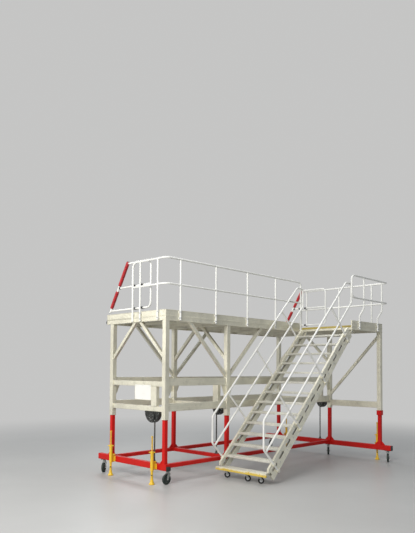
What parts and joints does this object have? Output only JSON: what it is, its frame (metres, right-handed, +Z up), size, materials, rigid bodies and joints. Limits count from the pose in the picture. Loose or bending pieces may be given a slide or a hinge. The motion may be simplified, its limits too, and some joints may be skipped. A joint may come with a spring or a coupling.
{
  "type": "mobile aircraft stairs",
  "caption": "Height-adjustable aircraft access platform on a castored base, with a side stair, guard rails and sliding padded end guards.",
  "frame": {"origin": "on the floor, under the middle of the object's bounding box", "axes": "+X along the platform, from the foot of the stair to the landing; +Y towards the aircraft, with the stair on the -Y side; +Z up"},
  "size_m": [6.1899, 3.834, 4.4458],
  "materials": {
    "red_paint": "gloss red machine paint, rubbed at the edges",
    "yellow_paint": "safety yellow paint",
    "black_paint": "black enamel",
    "white_paint": "white powder coat",
    "aluminium": "mill-finish extrusion, dulled",
    "deck_alloy": "ribbed non-slip extrusion",
    "steel": "zinc plated",
    "rubber": "matt black moulded rubber",
    "tyre": "solid rubber tread",
    "black_plastic": "matt black",
    "red_foam": "padded red cover"
  },
  "bodies": {
    "base": {"base_frame": "red_paint", "beam_cap": "black_plastic", "inner_legs": "red_paint", "leg_gussets": "red_paint", "castor_plates": "black_paint", "jack_brackets": "yellow_paint", "jack_sleeves": "yellow_paint", "lift_spindles": "black_paint"},
    "lift": {"outer_legs": "aluminium", "wear_pads": "black_plastic", "leg_collar": "red_paint", "mid_beams": "aluminium", "braces": "aluminium", "lift_drives": "black_paint", "lift_columns": "aluminium", "notice_board": "white_paint", "deck_edges": "aluminium", "deck_joists": "aluminium", "deck_planks": "deck_alloy", "toe_boards": "aluminium", "landing_nosing": "yellow_paint", "edge_bumper": "rubber", "guard_posts": "white_paint", "guard_rails": "white_paint", "guard_bends": "white_paint", "guide_clamps": "black_plastic", "hinge_lugs": "aluminium"},
    "guard_left": {"guard_left": "white_paint", "guard_left_pad": "red_foam"},
    "guard_right": {"guard_right": "white_paint", "guard_right_pad": "red_foam"},
    "stair": {"stringers": "aluminium", "treads": "deck_alloy", "bottom_step": "deck_alloy", "step_nosing": "yellow_paint", "handrail_tubes": "white_paint", "handrail_bends": "white_paint", "handrail_posts": "white_paint", "handrail_clamps": "aluminium", "step_castor_plates": "steel"},
    "fork_left_near": {"fork_left_near": "black_paint"},
    "wheel_left_near": {"wheel_left_near": "tyre"},
    "fork_left_far": {"fork_left_far": "black_paint"},
    "wheel_left_far": {"wheel_left_far": "tyre"},
    "fork_right_mid": {"fork_right_mid": "black_paint"},
    "wheel_right_mid": {"wheel_right_mid": "tyre"},
    "fork_right_near": {"fork_right_near": "black_paint"},
    "wheel_right_near": {"wheel_right_near": "tyre"},
    "fork_right_far": {"fork_right_far": "black_paint"},
    "wheel_right_far": {"wheel_right_far": "tyre"},
    "step_fork_near": {"step_fork_near": "steel"},
    "step_wheel_near": {"step_wheel_near": "tyre"},
    "step_fork_mid": {"step_fork_mid": "steel"},
    "step_wheel_mid": {"step_wheel_mid": "tyre"},
    "step_fork_far": {"step_fork_far": "steel"},
    "step_wheel_far": {"step_wheel_far": "tyre"},
    "jack_left_near": {"jack_left_near": "yellow_paint"},
    "jack_left_far": {"jack_left_far": "yellow_paint"},
    "jack_right_near": {"jack_right_near": "yellow_paint"},
    "jack_right_far": {"jack_right_far": "yellow_paint"}
  },
  "joints": [
    {"name": "lift_slide", "type": "slide", "parent": "base", "child": "lift", "axis": [0, 0, 1], "range_m": [-0.28, 0.28]},
    {"name": "stair_hinge", "type": "hinge", "parent": "lift", "child": "stair", "pos_m": [1.515, -0.982, 3.09], "axis": [0, -1, 0], "range_deg": [-5.5, 5.5]},
    {"name": "guard_left_slide", "type": "slide", "parent": "lift", "child": "guard_left", "axis": [0, 1, 0], "range_m": [-0.37, 0.11]},
    {"name": "guard_right_slide", "type": "slide", "parent": "lift", "child": "guard_right", "axis": [0, 1, 0], "range_m": [-0.14, 0.49]},
    {"name": "swivel_left_near", "type": "hinge", "parent": "base", "child": "fork_left_near", "pos_m": [-2.795, -0.182, 0.26], "axis": [0, 0, 1], "continuous": true},
    {"name": "roll_left_near", "type": "hinge", "parent": "fork_left_near", "child": "wheel_left_near", "pos_m": [-2.83694, -0.1842, 0.1], "axis": [0.0523, -0.9986, 0], "continuous": true},
    {"name": "swivel_left_far", "type": "hinge", "parent": "base", "child": "fork_left_far", "pos_m": [-2.885, 1.763, 0.26], "axis": [0, 0, 1], "continuous": true},
    {"name": "roll_left_far", "type": "hinge", "parent": "fork_left_far", "child": "wheel_left_far", "pos_m": [-2.91898, 1.73831, 0.1], "axis": [0.5878, -0.809, 0], "continuous": true},
    {"name": "swivel_right_mid", "type": "hinge", "parent": "base", "child": "fork_right_mid", "pos_m": [2.885, -0.137, 0.26], "axis": [0, 0, 1], "continuous": true},
    {"name": "roll_right_mid", "type": "hinge", "parent": "fork_right_mid", "child": "wheel_right_mid", "pos_m": [2.84938, -0.15926, 0.1], "axis": [0.5299, -0.848, 0], "continuous": true},
    {"name": "swivel_right_near", "type": "hinge", "parent": "base", "child": "fork_right_near", "pos_m": [2.885, -1.812, 0.26], "axis": [0, 0, 1], "continuous": true},
    {"name": "roll_right_near", "type": "hinge", "parent": "fork_right_near", "child": "wheel_right_near", "pos_m": [2.84758, -1.83107, 0.1], "axis": [0.454, -0.891, 0], "continuous": true},
    {"name": "swivel_right_far", "type": "hinge", "parent": "base", "child": "fork_right_far", "pos_m": [2.885, 1.763, 0.26], "axis": [0, 0, 1], "continuous": true},
    {"name": "roll_right_far", "type": "hinge", "parent": "fork_right_far", "child": "wheel_right_far", "pos_m": [2.84553, 1.74863, 0.1], "axis": [0.342, -0.9397, 0], "continuous": true},
    {"name": "step_swivel_near", "type": "hinge", "parent": "stair", "child": "step_fork_near", "pos_m": [-1.485, -1.372, 0.16], "axis": [0, 0, 1], "continuous": true},
    {"name": "step_roll_near", "type": "hinge", "parent": "step_fork_near", "child": "step_wheel_near", "pos_m": [-1.46202, -1.39128, 0.0625], "axis": [0.6428, 0.766, 0], "continuous": true},
    {"name": "step_swivel_mid", "type": "hinge", "parent": "stair", "child": "step_fork_mid", "pos_m": [-1.485, -1.037, 0.16], "axis": [0, 0, 1], "continuous": true},
    {"name": "step_roll_mid", "type": "hinge", "parent": "step_fork_mid", "child": "step_wheel_mid", "pos_m": [-1.46454, -1.05894, 0.0625], "axis": [0.7314, 0.682, 0], "continuous": true},
    {"name": "step_swivel_far", "type": "hinge", "parent": "stair", "child": "step_fork_far", "pos_m": [-1.485, -0.489, 0.16], "axis": [0, 0, 1], "continuous": true},
    {"name": "step_roll_far", "type": "hinge", "parent": "step_fork_far", "child": "step_wheel_far", "pos_m": [-1.46306, -0.50946, 0.0625], "axis": [0.682, 0.7314, 0], "continuous": true},
    {"name": "jack_slide_left_near", "type": "slide", "parent": "base", "child": "jack_left_near", "axis": [0, 0, 1], "range_m": [0, 0.12]},
    {"name": "jack_slide_left_far", "type": "slide", "parent": "base", "child": "jack_left_far", "axis": [0, 0, 1], "range_m": [0, 0.12]},
    {"name": "jack_slide_right_near", "type": "slide", "parent": "base", "child": "jack_right_near", "axis": [0, 0, 1], "range_m": [0, 0.12]},
    {"name": "jack_slide_right_far", "type": "slide", "parent": "base", "child": "jack_right_far", "axis": [0, 0, 1], "range_m": [0, 0.12]}
  ],
  "couplings": [
    {"joint": "stair_hinge", "follows": "lift_slide", "rad_per_m": 0.3365}
  ]
}
